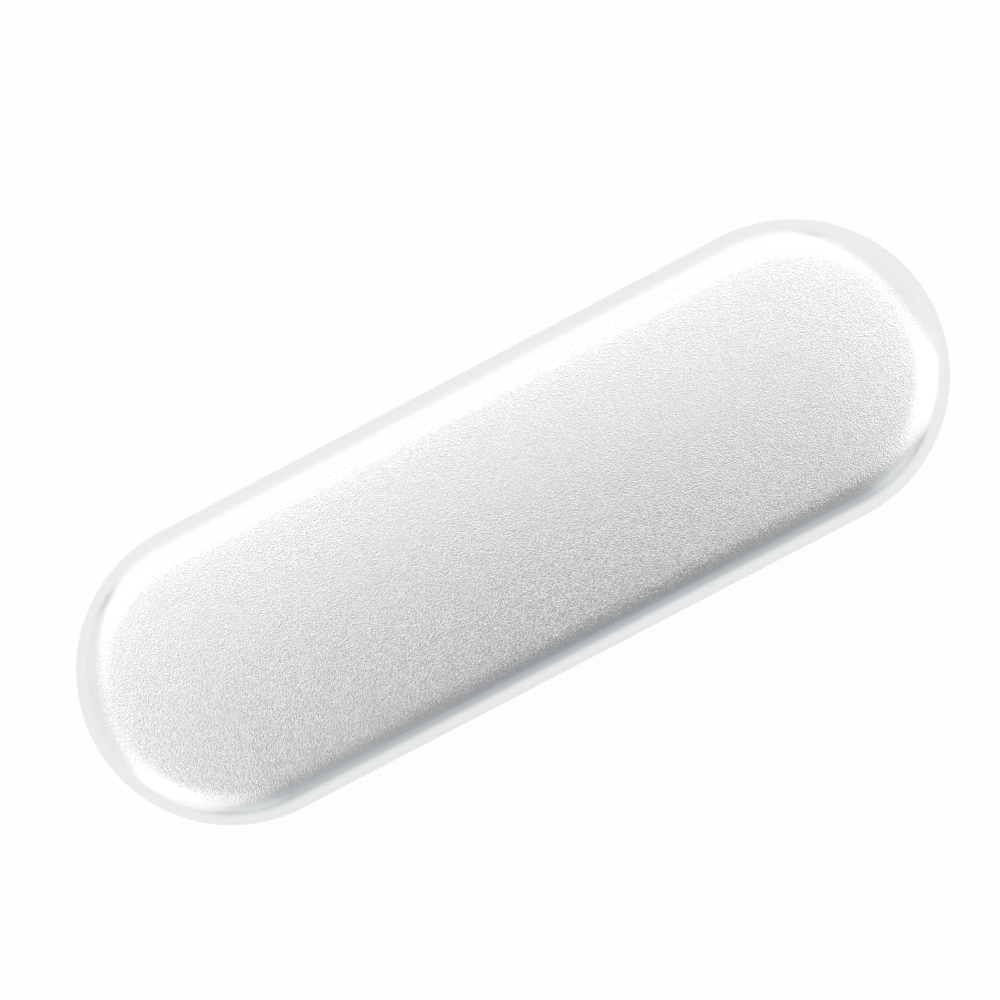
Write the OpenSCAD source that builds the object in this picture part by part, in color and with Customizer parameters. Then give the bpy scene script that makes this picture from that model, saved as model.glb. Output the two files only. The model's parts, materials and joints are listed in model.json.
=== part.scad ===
// Slim hinged storage case for eyelash tools: two drawn aluminium shells, each lined with a
// moulded tray and foam, joined along the rear by two sprung hinges.
// X runs along the case, +Y is the hinge side, -Y is the opening side, and Z = 0 is the
// face that it rests on. Every size is in millimetres.

/* [Case] */
// Length of the case over its round ends
case_l = 160; // [130:1:200]
// Width of the case over its widest line, at the seam
case_w = 52.8; // [50:0.1:66]
// Height of the base, from the table to the seam
base_h = 11; // [11:0.5:16]
// Height of the lid, from the seam to the middle of its top
lid_h = 11; // [11:0.5:16]
// Radius that rounds the long edges of both shells
edge_r = 7.5; // [6:0.1:8]
// Rise of the lid's top from its edges to its middle
crown_h = 0.5; // [0.2:0.05:1]

/* [Shells] */
// Thickness of the drawn aluminium
shell_t = 0.8; // [0.6:0.05:1]
// Gap between the two shells at the seam
seam_gap = 0.2; // [0.1:0.05:0.4]
// Width of the thumb notch in the base's front edge
notch_w = 18; // [12:1:30]
// Depth of the thumb notch below the seam
notch_d = 1.6; // [1:0.1:2.4]

/* [Trays] */
// Wall thickness of the moulded trays
tray_t = 0.9; // [0.7:0.05:1.1]
// Thickness of the adhesive sheets, which is also the gap between a tray and its shell
tape_t = 0.15; // [0.1:0.01:0.25]
// Thickness that the base tray's rim keeps under the thumb notch
rim_under = 0.4; // [0.3:0.1:1]
// Height of the locating lip above the seam
lip_h = 1.2; // [0.6:0.1:1.6]
// Thickness of the lip
lip_t = 0.8; // [0.5:0.05:1]
// Gap between the lip and the lid tray's wall
lip_gap = 0.25; // [0.15:0.05:0.4]
// Place across the case where the lip stops, short of the hinges
lip_rear = 10; // [0:1:14]

/* [Foam] */
// Thickness of the foam sheet under the slotted layer
backing_t = 1.2; // [0.8:0.1:2]
// Thickness of the slotted foam layer
cushion_t = 3.3; // [2.5:0.1:4]
// Clearance round the foam
foam_gap = 0.15; // [0.1:0.01:0.3]
// Number of tool slots
slot_n = 4; // [2:1:4]
// Distance of the slots' ends from the ends of the case
slot_margin = 18; // [16:0.5:30]
// Width of a tool slot
slot_w = 6.2; // [5:0.1:7]
// Distance from one tool slot to the next
slot_pitch = 10.4; // [9:0.1:11]
// Width of the finger scoop across the slots
scoop_w = 26; // [16:1:36]
// Depth of the finger scoop
scoop_d = 2; // [1:0.1:2.3]
// Thickness of the foam pad in the lid
pad_t = 2.5; // [1.5:0.1:3.5]

/* [Hinge] */
// Distance of each hinge's middle from the near end of the straight side
hinge_inset = 19.6; // [14:0.1:22]
// Diameter of the hinge knuckles
barrel_d = 2.6; // [2.4:0.1:3]
// Diameter of the hinge pins
pin_d = 1.2; // [1:0.1:1.3]
// Radial clearance of the pins in the knuckles
pin_gap = 0.05; // [0.03:0.01:0.08]
// Thickness of a pin's heads, along the pin
pin_head_t = 0.4; // [0.3:0.1:0.6]
// Thickness of the hinge leaves
leaf_t = 0.6; // [0.5:0.05:0.7]
// Height of a hinge leaf from the seam to its free edge
leaf_h = 6.2; // [5.6:0.1:6.4]
// Length of one knuckle
knuckle_l = 4; // [3:0.1:6]
// Gap between neighbouring knuckles
knuckle_gap = 0.2; // [0.15:0.01:0.3]
// Clearance round the knuckles
barrel_gap = 0.35; // [0.25:0.05:0.5]
// Angle at which the rear edges of the two shells meet
stop_angle = 104; // [102:1:110]
// Diameter of the rivet shanks
rivet_d = 1.6; // [1.2:0.1:1.8]
// Diameter of the rivet heads
rivet_head_d = 2.8; // [2.4:0.1:3]
// Thickness of the rivet heads
rivet_head_t = 0.4; // [0.3:0.05:0.5]

/* [Spring] */
// Diameter of the spring wire
wire_d = 0.4; // [0.3:0.05:0.45]
// Number of turns in each spring
spring_turns = 8; // [5:1:8]
// Distance from one turn to the next
spring_pitch = 0.9; // [0.88:0.01:1]
// Clearance between the spring and the pin, and between its ends and the knuckles
spring_gap = 0.15; // [0.1:0.01:0.2]
// Length of a spring leg that lies against its leaf
leg_hold = 0.9; // [0.5:0.1:1.4]
// Height of the notch that a leaf has for the spring, from the seam
bay_notch = 3.6; // [3:0.1:4.2]

/* [Hidden] */
$fn = 96;

// A little more than any cut needs, so that no two faces of a cut fall together
over = 1;

// Outline of the case
half_w = case_w / 2;
straight = case_l / 2 - half_w;
case_h = base_h + lid_h;
base_top = base_h - seam_gap / 2;
lid_depth = lid_h - seam_gap / 2;

// Steps inwards from the outside face of a shell
tray_out = shell_t + tape_t;
tray_in = tray_out + tray_t;
foam_out = tray_in + tape_t;
lip_out = tray_in + lip_gap;
lip_in = lip_out + lip_t;
tape_margin = 1.5;
tape_edge = edge_r + tape_margin;
tape_slack = 0.01;
rim_t = notch_d + rim_under;

// Heights of the foam in the base
backing_top = foam_out + backing_t;
cushion_top = backing_top + cushion_t;

// Hinge axis, with the knuckles touching the widest line of the case
barrel_r = barrel_d / 2;
pivot_y = half_w - barrel_r;
pivot_z = base_h;
bore_r = pin_d / 2 + pin_gap;
leaf_y = pivot_y - barrel_r;
leaf_top = barrel_r + barrel_gap;

// Spring, measured from the hinge axis, and the bay that it has between the knuckles
coil_r = pin_d / 2 + spring_gap + wire_d / 2;
coil_l = spring_turns * spring_pitch;
spring_bay = coil_l + wire_d + 2 * spring_gap + knuckle_gap;
leg_gap = 0.05;
leg_y = barrel_r - leaf_t - wire_d / 2 - leg_gap;
leg_lean = asin(coil_r / norm([leg_y, bay_notch])) - atan(leg_y / bay_notch);
rings_per_turn = 8;
wire_sides = 6;

// Places along a hinge, from its middle
lid_knuckle = spring_bay / 2;
base_knuckle = lid_knuckle + knuckle_l + knuckle_gap;
hinge_half = base_knuckle + knuckle_l;
hinge_x = straight - hinge_inset;
rivet_x = (lid_knuckle + hinge_half) / 2;
rivet_drop = (leaf_top + leaf_h) / 2;
rivet_gap = 0.05;
pin_head_d = (pin_d + barrel_d) / 2;
pin_head_gap = 0.1;

// Opening in the rear walls, high enough for the edges to meet at the stop angle, and long
// enough to reach where the round ends have drawn in past the hinge axis
relief = barrel_r * tan(stop_angle / 2);
opening_half = straight + sqrt(half_w * half_w - pivot_y * pivot_y) + relief / 2;

// Channel along the trays' rear for the hinges, down past the free edge of a leaf
channel_gap = 0.5;
channel_drop = leaf_h + channel_gap;

// Profiles of the shells, in X outwards from the case's long middle line and Y inwards from
// the outside face. Every surface is parallel to the outside, a given step further in.
module crown_profile(inset, crown, corner) {
    if (crown == 0) {
        translate([0, inset]) square([corner[0], case_h]);
    } else {
        crown_r = edge_r + (corner[0] * corner[0] + crown * crown) / (2 * crown);
        towards_edge = (corner - [0, crown_r]) / (crown_r - edge_r);
        intersection() {
            translate([0, crown_r]) circle(r = crown_r - inset, $fn = 720);
            polygon([
                [0, -over],
                corner + towards_edge * (edge_r + over),
                corner,
                [corner[0], case_h],
                [0, case_h]
            ]);
        }
    }
}

module half_profile(inset, crown, depth) {
    corner = [half_w - edge_r, edge_r + crown];
    intersection() {
        square([half_w - inset, depth]);
        union() {
            translate([0, corner[1]]) square([half_w - inset, case_h]);
            translate(corner) circle(r = edge_r - inset);
            crown_profile(inset, crown, corner);
        }
    }
}

// A solid of the case's outline with its outer edge rounded, open side up
module pan(inset, crown, depth) {
    rotate([90, 0, 90]) translate([0, 0, -straight]) linear_extrude(2 * straight) {
        half_profile(inset, crown, depth);
        mirror([1, 0]) half_profile(inset, crown, depth);
    }
    for (side = [-1, 1])
        translate([side * straight, 0, 0]) rotate([0, 0, -90 * side])
            rotate_extrude(angle = 180) half_profile(inset, crown, depth);
}

// A flat plate of the case's outline, a given step inside it
module outline_plate(inset, low, high) {
    translate([0, 0, low]) {
        translate([-straight, inset - half_w, 0])
            cube([2 * straight, case_w - 2 * inset, high - low]);
        for (side = [-1, 1])
            translate([side * straight, 0, 0])
                intersection() {
                    cylinder(r = half_w - inset, h = high - low);
                    translate([side > 0 ? 0 : -case_w, -half_w, 0])
                        cube([case_w, case_w, high - low]);
                }
    }
}

// The lid is modelled like the base, outside face down, and turned over onto it
module as_lid() {
    translate([0, 0, case_h]) mirror([0, 0, 1]) children();
}

// Long opening in a shell's rear wall for the hinge barrels, with rounded corners
module rear_opening(seam) {
    reach = opening_half - relief;
    translate([-reach, leaf_y, seam - relief]) cube([2 * reach, case_w, relief + over]);
    translate([-opening_half, leaf_y, seam]) cube([2 * opening_half, case_w, over]);
    for (side = [-1, 1])
        translate([side * reach, leaf_y, seam]) rotate([-90, 0, 0])
            cylinder(r = relief, h = case_w);
}

// Shallow arc cut into the base's front edge, for a thumb
module thumb_notch() {
    notch_r = (notch_w * notch_w / 4 + notch_d * notch_d) / (2 * notch_d);
    translate([0, lip_out - half_w, base_h - notch_d + notch_r]) rotate([90, 0, 0])
        cylinder(r = notch_r, h = case_w, $fn = 256);
}

module shell_body(crown, depth, seam) {
    difference() {
        pan(0, crown, depth);
        pan(shell_t, crown, depth + over);
        rear_opening(seam);
    }
}

// Thin adhesive sheet on the flat part of a floor
module adhesive_sheet(crown, outer, inner) {
    intersection() {
        difference() {
            pan(outer + tape_slack, crown, edge_r);
            pan(inner - tape_slack, crown, edge_r + over);
        }
        outline_plate(tape_edge, 0, edge_r);
    }
}

// Space behind a tray's rear wall. With grow above 0 it takes in the wall and the ledge
// that bound the space.
module hinge_channel(grow, seam) {
    low = seam - channel_drop - grow;
    translate([-case_l, leaf_y - grow, low]) cube([2 * case_l, case_w, case_h]);
}

// Clearance round the knuckles along the seam edge of a tray's rear wall
module knuckle_groove(seam) {
    translate([-case_l, pivot_y, seam]) rotate([0, 90, 0])
        cylinder(r = leaf_top, h = 2 * case_l);
}

module rivet_holes(seam) {
    for (side = [-1, 1], end = [-1, 1])
        translate([side * hinge_x + end * rivet_x, 0, seam - rivet_drop])
            rotate([-90, 0, 0]) cylinder(r = rivet_d / 2 + rivet_gap, h = case_w, $fn = 32);
}

module tray_skin(crown, depth, seam) {
    difference() {
        pan(tray_out, crown, depth);
        difference() {
            pan(tray_in, crown, depth + over);
            hinge_channel(tray_t, seam);
        }
    }
}

module hinge_cuts(seam) {
    hinge_channel(0, seam);
    knuckle_groove(seam);
    rivet_holes(seam);
}

module base_shell() {
    color("silver") difference() {
        shell_body(0, base_top, base_h);
        thumb_notch();
    }
}

module lid_shell() {
    color("silver") as_lid() shell_body(crown_h, lid_depth, lid_h);
}

module base_tray_tape() {
    color("ivory") adhesive_sheet(0, shell_t, tray_out);
}

module lid_tray_tape() {
    color("ivory") as_lid() adhesive_sheet(crown_h, shell_t, tray_out);
}

module cushion_tape() {
    color("ivory") adhesive_sheet(0, tray_in, foam_out);
}

module pad_tape() {
    color("ivory") as_lid() adhesive_sheet(crown_h, tray_in, foam_out);
}

// Rim inside the mouth of the base tray, with the lip that locates the lid
module base_rim() {
    difference() {
        outline_plate(tray_out, base_top - rim_t, base_top);
        outline_plate(lip_in, base_top - rim_t - over, base_top + over);
    }
    intersection() {
        difference() {
            outline_plate(lip_out, base_top - rim_t / 2, base_h + lip_h);
            outline_plate(lip_in, base_top - rim_t, base_h + lip_h + over);
        }
        translate([-case_l / 2, -half_w, 0]) cube([case_l, half_w + lip_rear, case_h]);
    }
}

module base_tray() {
    color("dimgray") difference() {
        union() {
            tray_skin(0, base_top, base_h);
            base_rim();
        }
        hinge_cuts(base_h);
        thumb_notch();
    }
}

module lid_tray() {
    color("dimgray") as_lid() difference() {
        tray_skin(crown_h, lid_depth, lid_h);
        hinge_cuts(lid_h);
    }
}

// Foam that fills a tray's outline between two depths, clear of the rivets' heads
module foam(crown, low, high, seam) {
    difference() {
        intersection() {
            pan(foam_out, crown, high);
            translate([-case_l / 2, -half_w, low]) cube([case_l, case_w, high - low]);
        }
        hinge_channel(tray_t + rivet_head_t + foam_gap, seam);
    }
}

module tool_slots(low, high) {
    reach = case_l / 2 - slot_margin - slot_w / 2;
    for (i = [0 : slot_n - 1])
        translate([0, (i - (slot_n - 1) / 2) * slot_pitch, low]) {
            translate([-reach, -slot_w / 2, 0]) cube([2 * reach, slot_w, high - low]);
            for (side = [-1, 1])
                translate([side * reach, 0, 0]) cylinder(d = slot_w, h = high - low);
        }
}

module finger_scoop(top) {
    scoop_r = (scoop_w * scoop_w / 4 + scoop_d * scoop_d) / (2 * scoop_d);
    translate([0, -half_w, top - scoop_d + scoop_r]) rotate([-90, 0, 0])
        cylinder(r = scoop_r, h = case_w, $fn = 256);
}

module cushion_backing() {
    color("dimgray") foam(0, 0, backing_top, base_h);
}

module tool_cushion() {
    color("dimgray") difference() {
        foam(0, backing_top, cushion_top, base_h);
        tool_slots(backing_top - over, cushion_top + over);
        finger_scoop(cushion_top);
    }
}

module lid_pad() {
    color("dimgray") as_lid() foam(crown_h, 0, foam_out + crown_h + pad_t, lid_h);
}

// One knuckle of a hinge leaf: its barrel, its bore and the strap down to the plate
module knuckle(start) {
    strap_h = leaf_top + barrel_gap;
    translate([start, pivot_y, pivot_z]) difference() {
        union() {
            rotate([0, 90, 0]) cylinder(r = barrel_r, h = knuckle_l, $fn = 64);
            translate([0, -barrel_r, -strap_h]) cube([knuckle_l, leaf_t, strap_h]);
        }
        translate([-over, 0, 0]) rotate([0, 90, 0])
            cylinder(r = bore_r, h = knuckle_l + 2 * over, $fn = 48);
    }
}

// Leaf of a hinge, with a knuckle that starts a given distance out on both sides
module hinge_leaf(side, first) {
    translate([side * hinge_x, 0, 0]) {
        knuckle(first);
        knuckle(-first - knuckle_l);
    }
    difference() {
        translate([side * hinge_x - hinge_half, leaf_y, pivot_z - leaf_h])
            cube([2 * hinge_half, leaf_t, leaf_h - leaf_top]);
        translate([side * hinge_x - spring_bay / 2, 0, pivot_z - bay_notch])
            cube([spring_bay, case_w, bay_notch]);
        rivet_holes(pivot_z);
    }
}

// The lid's hinge pieces are the base's, turned over about the hinge axis
module about_pivot() {
    translate([0, 0, 2 * pivot_z]) mirror([0, 0, 1]) children();
}

module base_hinge_leaf(side) {
    color("lightgray") hinge_leaf(side, base_knuckle);
}

module lid_hinge_leaf(side) {
    color("lightgray") about_pivot() hinge_leaf(side, lid_knuckle);
}

// Rivet through a leaf and its tray wall, along +Z from the wall's inner face
module rivet() {
    grip = tray_t + leaf_t;
    crest_d = rivet_head_d - 2 * rivet_head_t;
    translate([0, 0, -rivet_head_t]) {
        cylinder(d1 = crest_d, d2 = rivet_head_d, h = rivet_head_t, $fn = 48);
        cylinder(d = rivet_d, h = grip + 2 * rivet_head_t, $fn = 32);
    }
    translate([0, 0, grip]) cylinder(d = rivet_head_d, h = rivet_head_t, $fn = 48);
}

module hinge_rivets() {
    for (side = [-1, 1], end = [-1, 1])
        translate([side * hinge_x + end * rivet_x, leaf_y - tray_t, pivot_z - rivet_drop])
            rotate([-90, 0, 0]) rivet();
}

module base_hinge_rivets() {
    color("gray") hinge_rivets();
}

module lid_hinge_rivets() {
    color("gray") about_pivot() hinge_rivets();
}

module hinge_pin(side) {
    reach = hinge_half + pin_head_gap;
    color("gray") translate([side * hinge_x, pivot_y, pivot_z]) rotate([0, 90, 0]) {
        translate([0, 0, -reach]) cylinder(d = pin_d, h = 2 * reach, $fn = 48);
        translate([0, 0, reach]) cylinder(d = pin_head_d, h = pin_head_t, $fn = 48);
        translate([0, 0, -reach - pin_head_t])
            cylinder(d = pin_head_d, h = pin_head_t, $fn = 48);
    }
}

// Torsion spring: a leg behind the base leaf, the turns round the pin, and a leg behind the
// lid leaf. Each leg leaves the turns at a tangent and passes close behind its leaf, at the
// end of the leaf's notch. Angles turn from the front, -Y, towards the top, +Z.
spring_sweep = spring_turns * 360 + 2 * leg_lean;
spring_steps = spring_turns * rings_per_turn;

function coil_point(t) =
    let (turn = -leg_lean + t * spring_sweep)
    [(t - 0.5) * coil_l, -coil_r * cos(turn), coil_r * sin(turn)];

function unit(v) = v / norm(v);
function leg_tip(from, hold) = hold + leg_hold * unit(hold - from);

coil_points = [for (i = [0 : spring_steps]) coil_point(i / spring_steps)];
spring_path = concat(
    [leg_tip(coil_point(0), [-coil_l / 2, -leg_y, -bay_notch])],
    coil_points,
    [leg_tip(coil_point(1), [coil_l / 2, -leg_y, bay_notch])]
);

// Least gap between turns, over points that are at least half a turn apart
function turn_gaps(points, apart) = [
    for (i = [0 : len(points) - 1 - apart], j = [i + apart : len(points) - 1])
        norm(points[i] - points[j]) - wire_d
];
echo(least_spring_gap = min(turn_gaps(coil_points, rings_per_turn / 2)));

function direction(path, i) =
    unit(path[min(i + 1, len(path) - 1)] - path[max(i - 1, 0)]);

// Rings of a tube along a path that always has some reach along Y or Z
function wire_ring(path, i) =
    let (
        along = direction(path, i),
        across = unit(cross(along, [1, 0, 0])),
        beside = cross(along, across)
    )
    [for (k = [0 : wire_sides - 1])
        path[i] + wire_d / 2
            * (across * cos(360 * k / wire_sides) + beside * sin(360 * k / wire_sides))];

module wire(path) {
    n = len(path);
    corners = [for (i = [0 : n - 1]) each wire_ring(path, i)];
    sides = [for (i = [0 : n - 2], k = [0 : wire_sides - 1])
        let (
            next = (k + 1) % wire_sides,
            a = i * wire_sides + k,
            b = i * wire_sides + next
        )
        each [[a, a + wire_sides, b], [b, a + wire_sides, b + wire_sides]]];
    first = [for (k = [1 : wire_sides - 2]) [0, k, k + 1]];
    last_ring = (n - 1) * wire_sides;
    last = [for (k = [1 : wire_sides - 2]) [last_ring, last_ring + k + 1, last_ring + k]];
    polyhedron(points = corners, faces = concat(sides, first, last));
}

module hinge_spring(side) {
    color("gray") translate([side * hinge_x, pivot_y, pivot_z]) wire(spring_path);
}

base_shell();
base_tray_tape();
base_tray();
cushion_tape();
cushion_backing();
tool_cushion();
base_hinge_leaf(-1);  // base_hinge_leaf_left
base_hinge_leaf(1);  // base_hinge_leaf_right
base_hinge_rivets();
hinge_pin(-1);  // hinge_pin_left
hinge_pin(1);  // hinge_pin_right
hinge_spring(-1);  // hinge_spring_left
hinge_spring(1);  // hinge_spring_right
lid_shell();
lid_tray_tape();
lid_tray();
pad_tape();
lid_pad();
lid_hinge_leaf(-1);  // lid_hinge_leaf_left
lid_hinge_leaf(1);  // lid_hinge_leaf_right
lid_hinge_rivets();
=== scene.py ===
# %% [markdown]
# # A slim metal case for eyelash tools
#
# The object is a closed, stadium-shaped case: two drawn aluminium shells, lined with
# flocked trays and foam, and joined along the rear by two sprung hinges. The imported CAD
# model gives every size and place. This lesson gives each piece the shape and the finish
# that a close look asks for, and it never moves or resizes anything.

import json
import math

import bpy
from mathutils import Matrix, Vector


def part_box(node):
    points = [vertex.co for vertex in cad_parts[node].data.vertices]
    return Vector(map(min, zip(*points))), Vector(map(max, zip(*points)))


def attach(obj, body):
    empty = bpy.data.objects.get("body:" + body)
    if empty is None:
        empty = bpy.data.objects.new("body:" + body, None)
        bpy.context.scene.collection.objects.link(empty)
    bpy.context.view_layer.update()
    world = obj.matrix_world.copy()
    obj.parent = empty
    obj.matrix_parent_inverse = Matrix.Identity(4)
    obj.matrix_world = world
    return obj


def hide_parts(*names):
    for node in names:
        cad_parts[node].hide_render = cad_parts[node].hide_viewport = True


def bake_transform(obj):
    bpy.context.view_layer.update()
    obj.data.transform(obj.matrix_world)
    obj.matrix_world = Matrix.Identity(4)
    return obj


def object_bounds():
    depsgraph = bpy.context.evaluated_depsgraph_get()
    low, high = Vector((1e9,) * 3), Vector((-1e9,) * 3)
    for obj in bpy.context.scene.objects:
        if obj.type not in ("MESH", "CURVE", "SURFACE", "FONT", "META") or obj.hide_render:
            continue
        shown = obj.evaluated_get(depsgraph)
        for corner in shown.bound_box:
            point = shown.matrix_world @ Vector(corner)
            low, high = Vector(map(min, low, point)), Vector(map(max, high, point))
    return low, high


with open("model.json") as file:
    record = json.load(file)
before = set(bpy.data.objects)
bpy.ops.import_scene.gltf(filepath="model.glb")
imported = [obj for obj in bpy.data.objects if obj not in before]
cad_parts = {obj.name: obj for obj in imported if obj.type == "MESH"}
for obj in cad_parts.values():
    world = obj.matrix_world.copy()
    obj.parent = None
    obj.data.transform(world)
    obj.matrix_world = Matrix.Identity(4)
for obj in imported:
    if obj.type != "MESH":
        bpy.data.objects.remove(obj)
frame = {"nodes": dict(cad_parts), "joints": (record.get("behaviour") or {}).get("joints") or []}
bpy.ops.object.select_all(action="DESELECT")
cad_low, cad_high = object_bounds()
print("CAD box, mm:", [round(1000 * x, 2) for x in (*cad_low, *cad_high)])

# %% [markdown]
# ## Sizes
#
# A maker would read these off the drawing. What the frame can tell is taken from it, and
# the rest are the sheet thicknesses and radii that the shells, trays and foam are made to.
# Everything is in metres, because that is Blender's unit here.

# %% Sizes of the case
mm = 0.001
case_l, case_w, case_h = cad_high - cad_low
half_w = case_w / 2
straight = case_l / 2 - half_w
pivot = Vector(frame["joints"][0]["pos_m"])
seam_z = pivot.z
base_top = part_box("base_shell")[1].z
lid_depth = case_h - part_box("lid_shell")[0].z
edge_r = 7.5 * mm
crown_h = 0.5 * mm
shell_t = 0.8 * mm
tray_t = 0.9 * mm
tape_t = 0.15 * mm
tray_out = shell_t + tape_t
tray_in = tray_out + tray_t
foam_out = tray_in + tape_t
print("straight half, mm:", round(straight / mm, 2), "seam at", round(seam_z / mm, 2))

# %% [markdown]
# ## Camera
#
# The photograph looks straight down on the closed case from a short distance, a little off
# its middle, with the case lying across the picture. The turn, the two small leans and the
# distance were found by fitting the case's outline to the one in the picture.

# %% Camera
camera_turn = math.radians(27.685)
camera_lean_side = math.radians(-1.97)
camera_lean_down = math.radians(1.064)
camera_distance = 450 * mm
camera_aside = Vector((1.843 * mm, -3.965 * mm))
camera_lens = 95.09

world_to_view = (
    Matrix.Rotation(camera_lean_down, 3, "X")
    @ Matrix.Rotation(camera_lean_side, 3, "Y")
    @ Matrix.Rotation(camera_turn, 3, "Z")
)
view_to_world = world_to_view.transposed()
stand = view_to_world @ Vector((-camera_aside.x, -camera_aside.y, camera_distance))
bpy.ops.object.camera_add(
    location=stand + Vector((0, 0, seam_z)), rotation=view_to_world.to_euler()
)
camera = bpy.context.object
camera.name = "camera"
camera.data.lens = camera_lens
camera.data.clip_start = 10 * mm
bpy.context.scene.camera = camera
print("camera height, mm:", round(camera.location.z / mm, 1))

# %% [markdown]
# ## Floor and light
#
# Satin metal shows the room more than its own colour, so the lamps are placed by what the
# case has to mirror. Light from several lamps simply adds up, so a first set of strengths
# was found from one picture of each lamp alone, weighed against the photograph's shades.
#
# A narrow softbox hangs straight above and a brighter one just behind it, so the face
# fades from light at the hinge side to grey at the front. A large one stands behind and
# one at each end, which light the rounded edge evenly. A strip in front of each end makes
# the brightest crescents, and small cards fill the gaps between the boxes. The cards in
# front are faint, and the two in the middle are cool, so the edge there stays dark. The
# pale floor shows in the lowest part of the rim.

# %% Helpers for nodes


def set_inputs(node, **values):
    """Sets or links a node's inputs. A word is an input's name, with _ for each space, and
    _ with a number is the input at that place."""
    for name, value in values.items():
        key = int(name[1:]) if name[0] == "_" else name.replace("_", " ")
        if isinstance(value, bpy.types.NodeSocket):
            node.id_data.links.new(value, node.inputs[key])
        else:
            node.inputs[key].default_value = value
    return node


def add_node(tree, kind, settings=None, **values):
    """A new node in a tree, with its settings made and its inputs set or linked."""
    node = tree.nodes.new("ShaderNode" + kind)
    for name, value in (settings or {}).items():
        setattr(node, name, value)
    return set_inputs(node, **values)


# %% Floor
floor_z = -0.02 * mm
floor_size = 8.0
paper_white = (0.9, 0.9, 0.9, 1)
glow_seen = 0.94
glow_mirrored = 0.55

bpy.ops.mesh.primitive_plane_add(size=floor_size, location=(0, 0, floor_z))
floor = bpy.context.object
floor.name = floor.data.name = "studio_floor"

paper = bpy.data.materials.new("floor_paper")
paper.use_nodes = True
tree = paper.node_tree
tree.nodes.clear()
ray = add_node(tree, "LightPath")
mirrored = add_node(
    tree, "Math", {"operation": "MULTIPLY"}, _0=ray.outputs["Is Glossy Ray"], _1=glow_mirrored
)
glow = add_node(
    tree, "Math", {"operation": "MULTIPLY_ADD"},
    _0=ray.outputs["Is Camera Ray"], _1=glow_seen, _2=mirrored.outputs[0],
)
sheet = add_node(tree, "BsdfDiffuse", Color=paper_white)
lit = add_node(tree, "Emission", Strength=1.0)
mix = add_node(tree, "MixShader", Fac=glow.outputs[0], _1=sheet.outputs[0], _2=lit.outputs[0])
add_node(tree, "OutputMaterial", Surface=mix.outputs[0])
floor.data.materials.append(paper)
print("floor, m:", floor_size)

# %% Room
room_colour = (0.216, 0.216, 0.234, 1)
backdrop_white = (1, 1, 1, 1)

world = bpy.data.worlds.new("studio")
bpy.context.scene.world = world
world.use_nodes = True
tree = world.node_tree
tree.nodes.clear()
ray = add_node(tree, "LightPath")
dim = add_node(tree, "Background", Color=room_colour)
white = add_node(tree, "Background", Color=backdrop_white)
mix = add_node(
    tree, "MixShader", Fac=ray.outputs["Is Camera Ray"], _1=dim.outputs[0], _2=white.outputs[0]
)
add_node(tree, "OutputWorld", Surface=mix.outputs[0])
bpy.context.scene.view_settings.view_transform = "Standard"
print("room:", room_colour[:3])

# %% Softboxes
lamp_distance = 0.9
cool = (0.76, 0.95, 1.0)


def softbox(name, side, tilt, wide, tall, glow, tint=(1, 1, 1)):
    """An area lamp aimed at the case. Side is the compass angle from +X towards +Y, and
    tilt the angle from straight up, in degrees. Glow is how bright its face looks."""
    a, t = math.radians(side), math.radians(tilt)
    direction = Vector((math.cos(a) * math.sin(t), math.sin(a) * math.sin(t), math.cos(t)))
    bpy.ops.object.light_add(
        type="AREA",
        location=direction * lamp_distance,
        rotation=(-direction).to_track_quat("-Z", "Y").to_euler(),
    )
    lamp = bpy.context.object
    lamp.name = lamp.data.name = name
    lamp.data.shape = "RECTANGLE"
    lamp.data.size, lamp.data.size_y = wide, tall
    lamp.data.energy = glow * math.pi * wide * tall
    lamp.data.color = tint
    lamp.visible_camera = False
    print(name, "energy, W:", round(lamp.data.energy, 2))


softbox("overhead_softbox", 90, 2, 1.2, 0.18, 0.41)
softbox("over_rear_softbox", 90, 11, 1.2, 0.28, 0.66)
softbox("rear_softbox", 90, 52, 1.5, 1.35, 0.93)
softbox("right_softbox", 11, 62, 1.25, 0.95, 0.72)
softbox("right_rear_card", 49, 84, 0.24, 0.32, 0.32)
softbox("right_strip", -33, 52, 0.5, 1.3, 1.02)
softbox("right_front_card", -62, 64, 0.36, 0.6, 0.38)
softbox("left_softbox", 169, 62, 1.25, 0.95, 0.68)
softbox("left_rear_card", 131, 84, 0.24, 0.32, 0.15)
softbox("left_strip", 215, 54, 0.5, 1.2, 0.89)
softbox("left_front_card", 242, 64, 0.36, 0.6, 0.35)
softbox("front_card", -90, 78, 1.3, 0.36, 0.37, cool)
softbox("front_fill", -90, 50, 1.1, 0.5, 0.06, cool)

# %% [markdown]
# ## Finishes
#
# A node group is built once and placed in each material that needs it, with its own
# values. It puts out only heights and masks, and each material keeps its own shader, so a
# colour or roughness that is the same all over stays on the shader's socket.

# %% Helpers for finishes


def new_group(name, inputs, outputs):
    """An empty shader node group with named sockets, and its input and output nodes."""
    group = bpy.data.node_groups.new(name, "ShaderNodeTree")
    for label, kind in inputs:
        group.interface.new_socket(name=label, in_out="INPUT", socket_type="NodeSocket" + kind)
    for label, kind in outputs:
        group.interface.new_socket(name=label, in_out="OUTPUT", socket_type="NodeSocket" + kind)
    return group, group.nodes.new("NodeGroupInput"), group.nodes.new("NodeGroupOutput")


def add_group(tree, group, **values):
    """A group placed in a material, with its inputs set or linked."""
    return add_node(tree, "Group", {"node_tree": group}, **values)


def mix_colours(tree, share, first, second, way="MIX"):
    """The output of a node that goes from one colour to another, or adds the second."""
    settings = {"data_type": "RGBA", "blend_type": way}
    return add_node(tree, "Mix", settings, _0=share, _6=first, _7=second).outputs[2]


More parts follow.
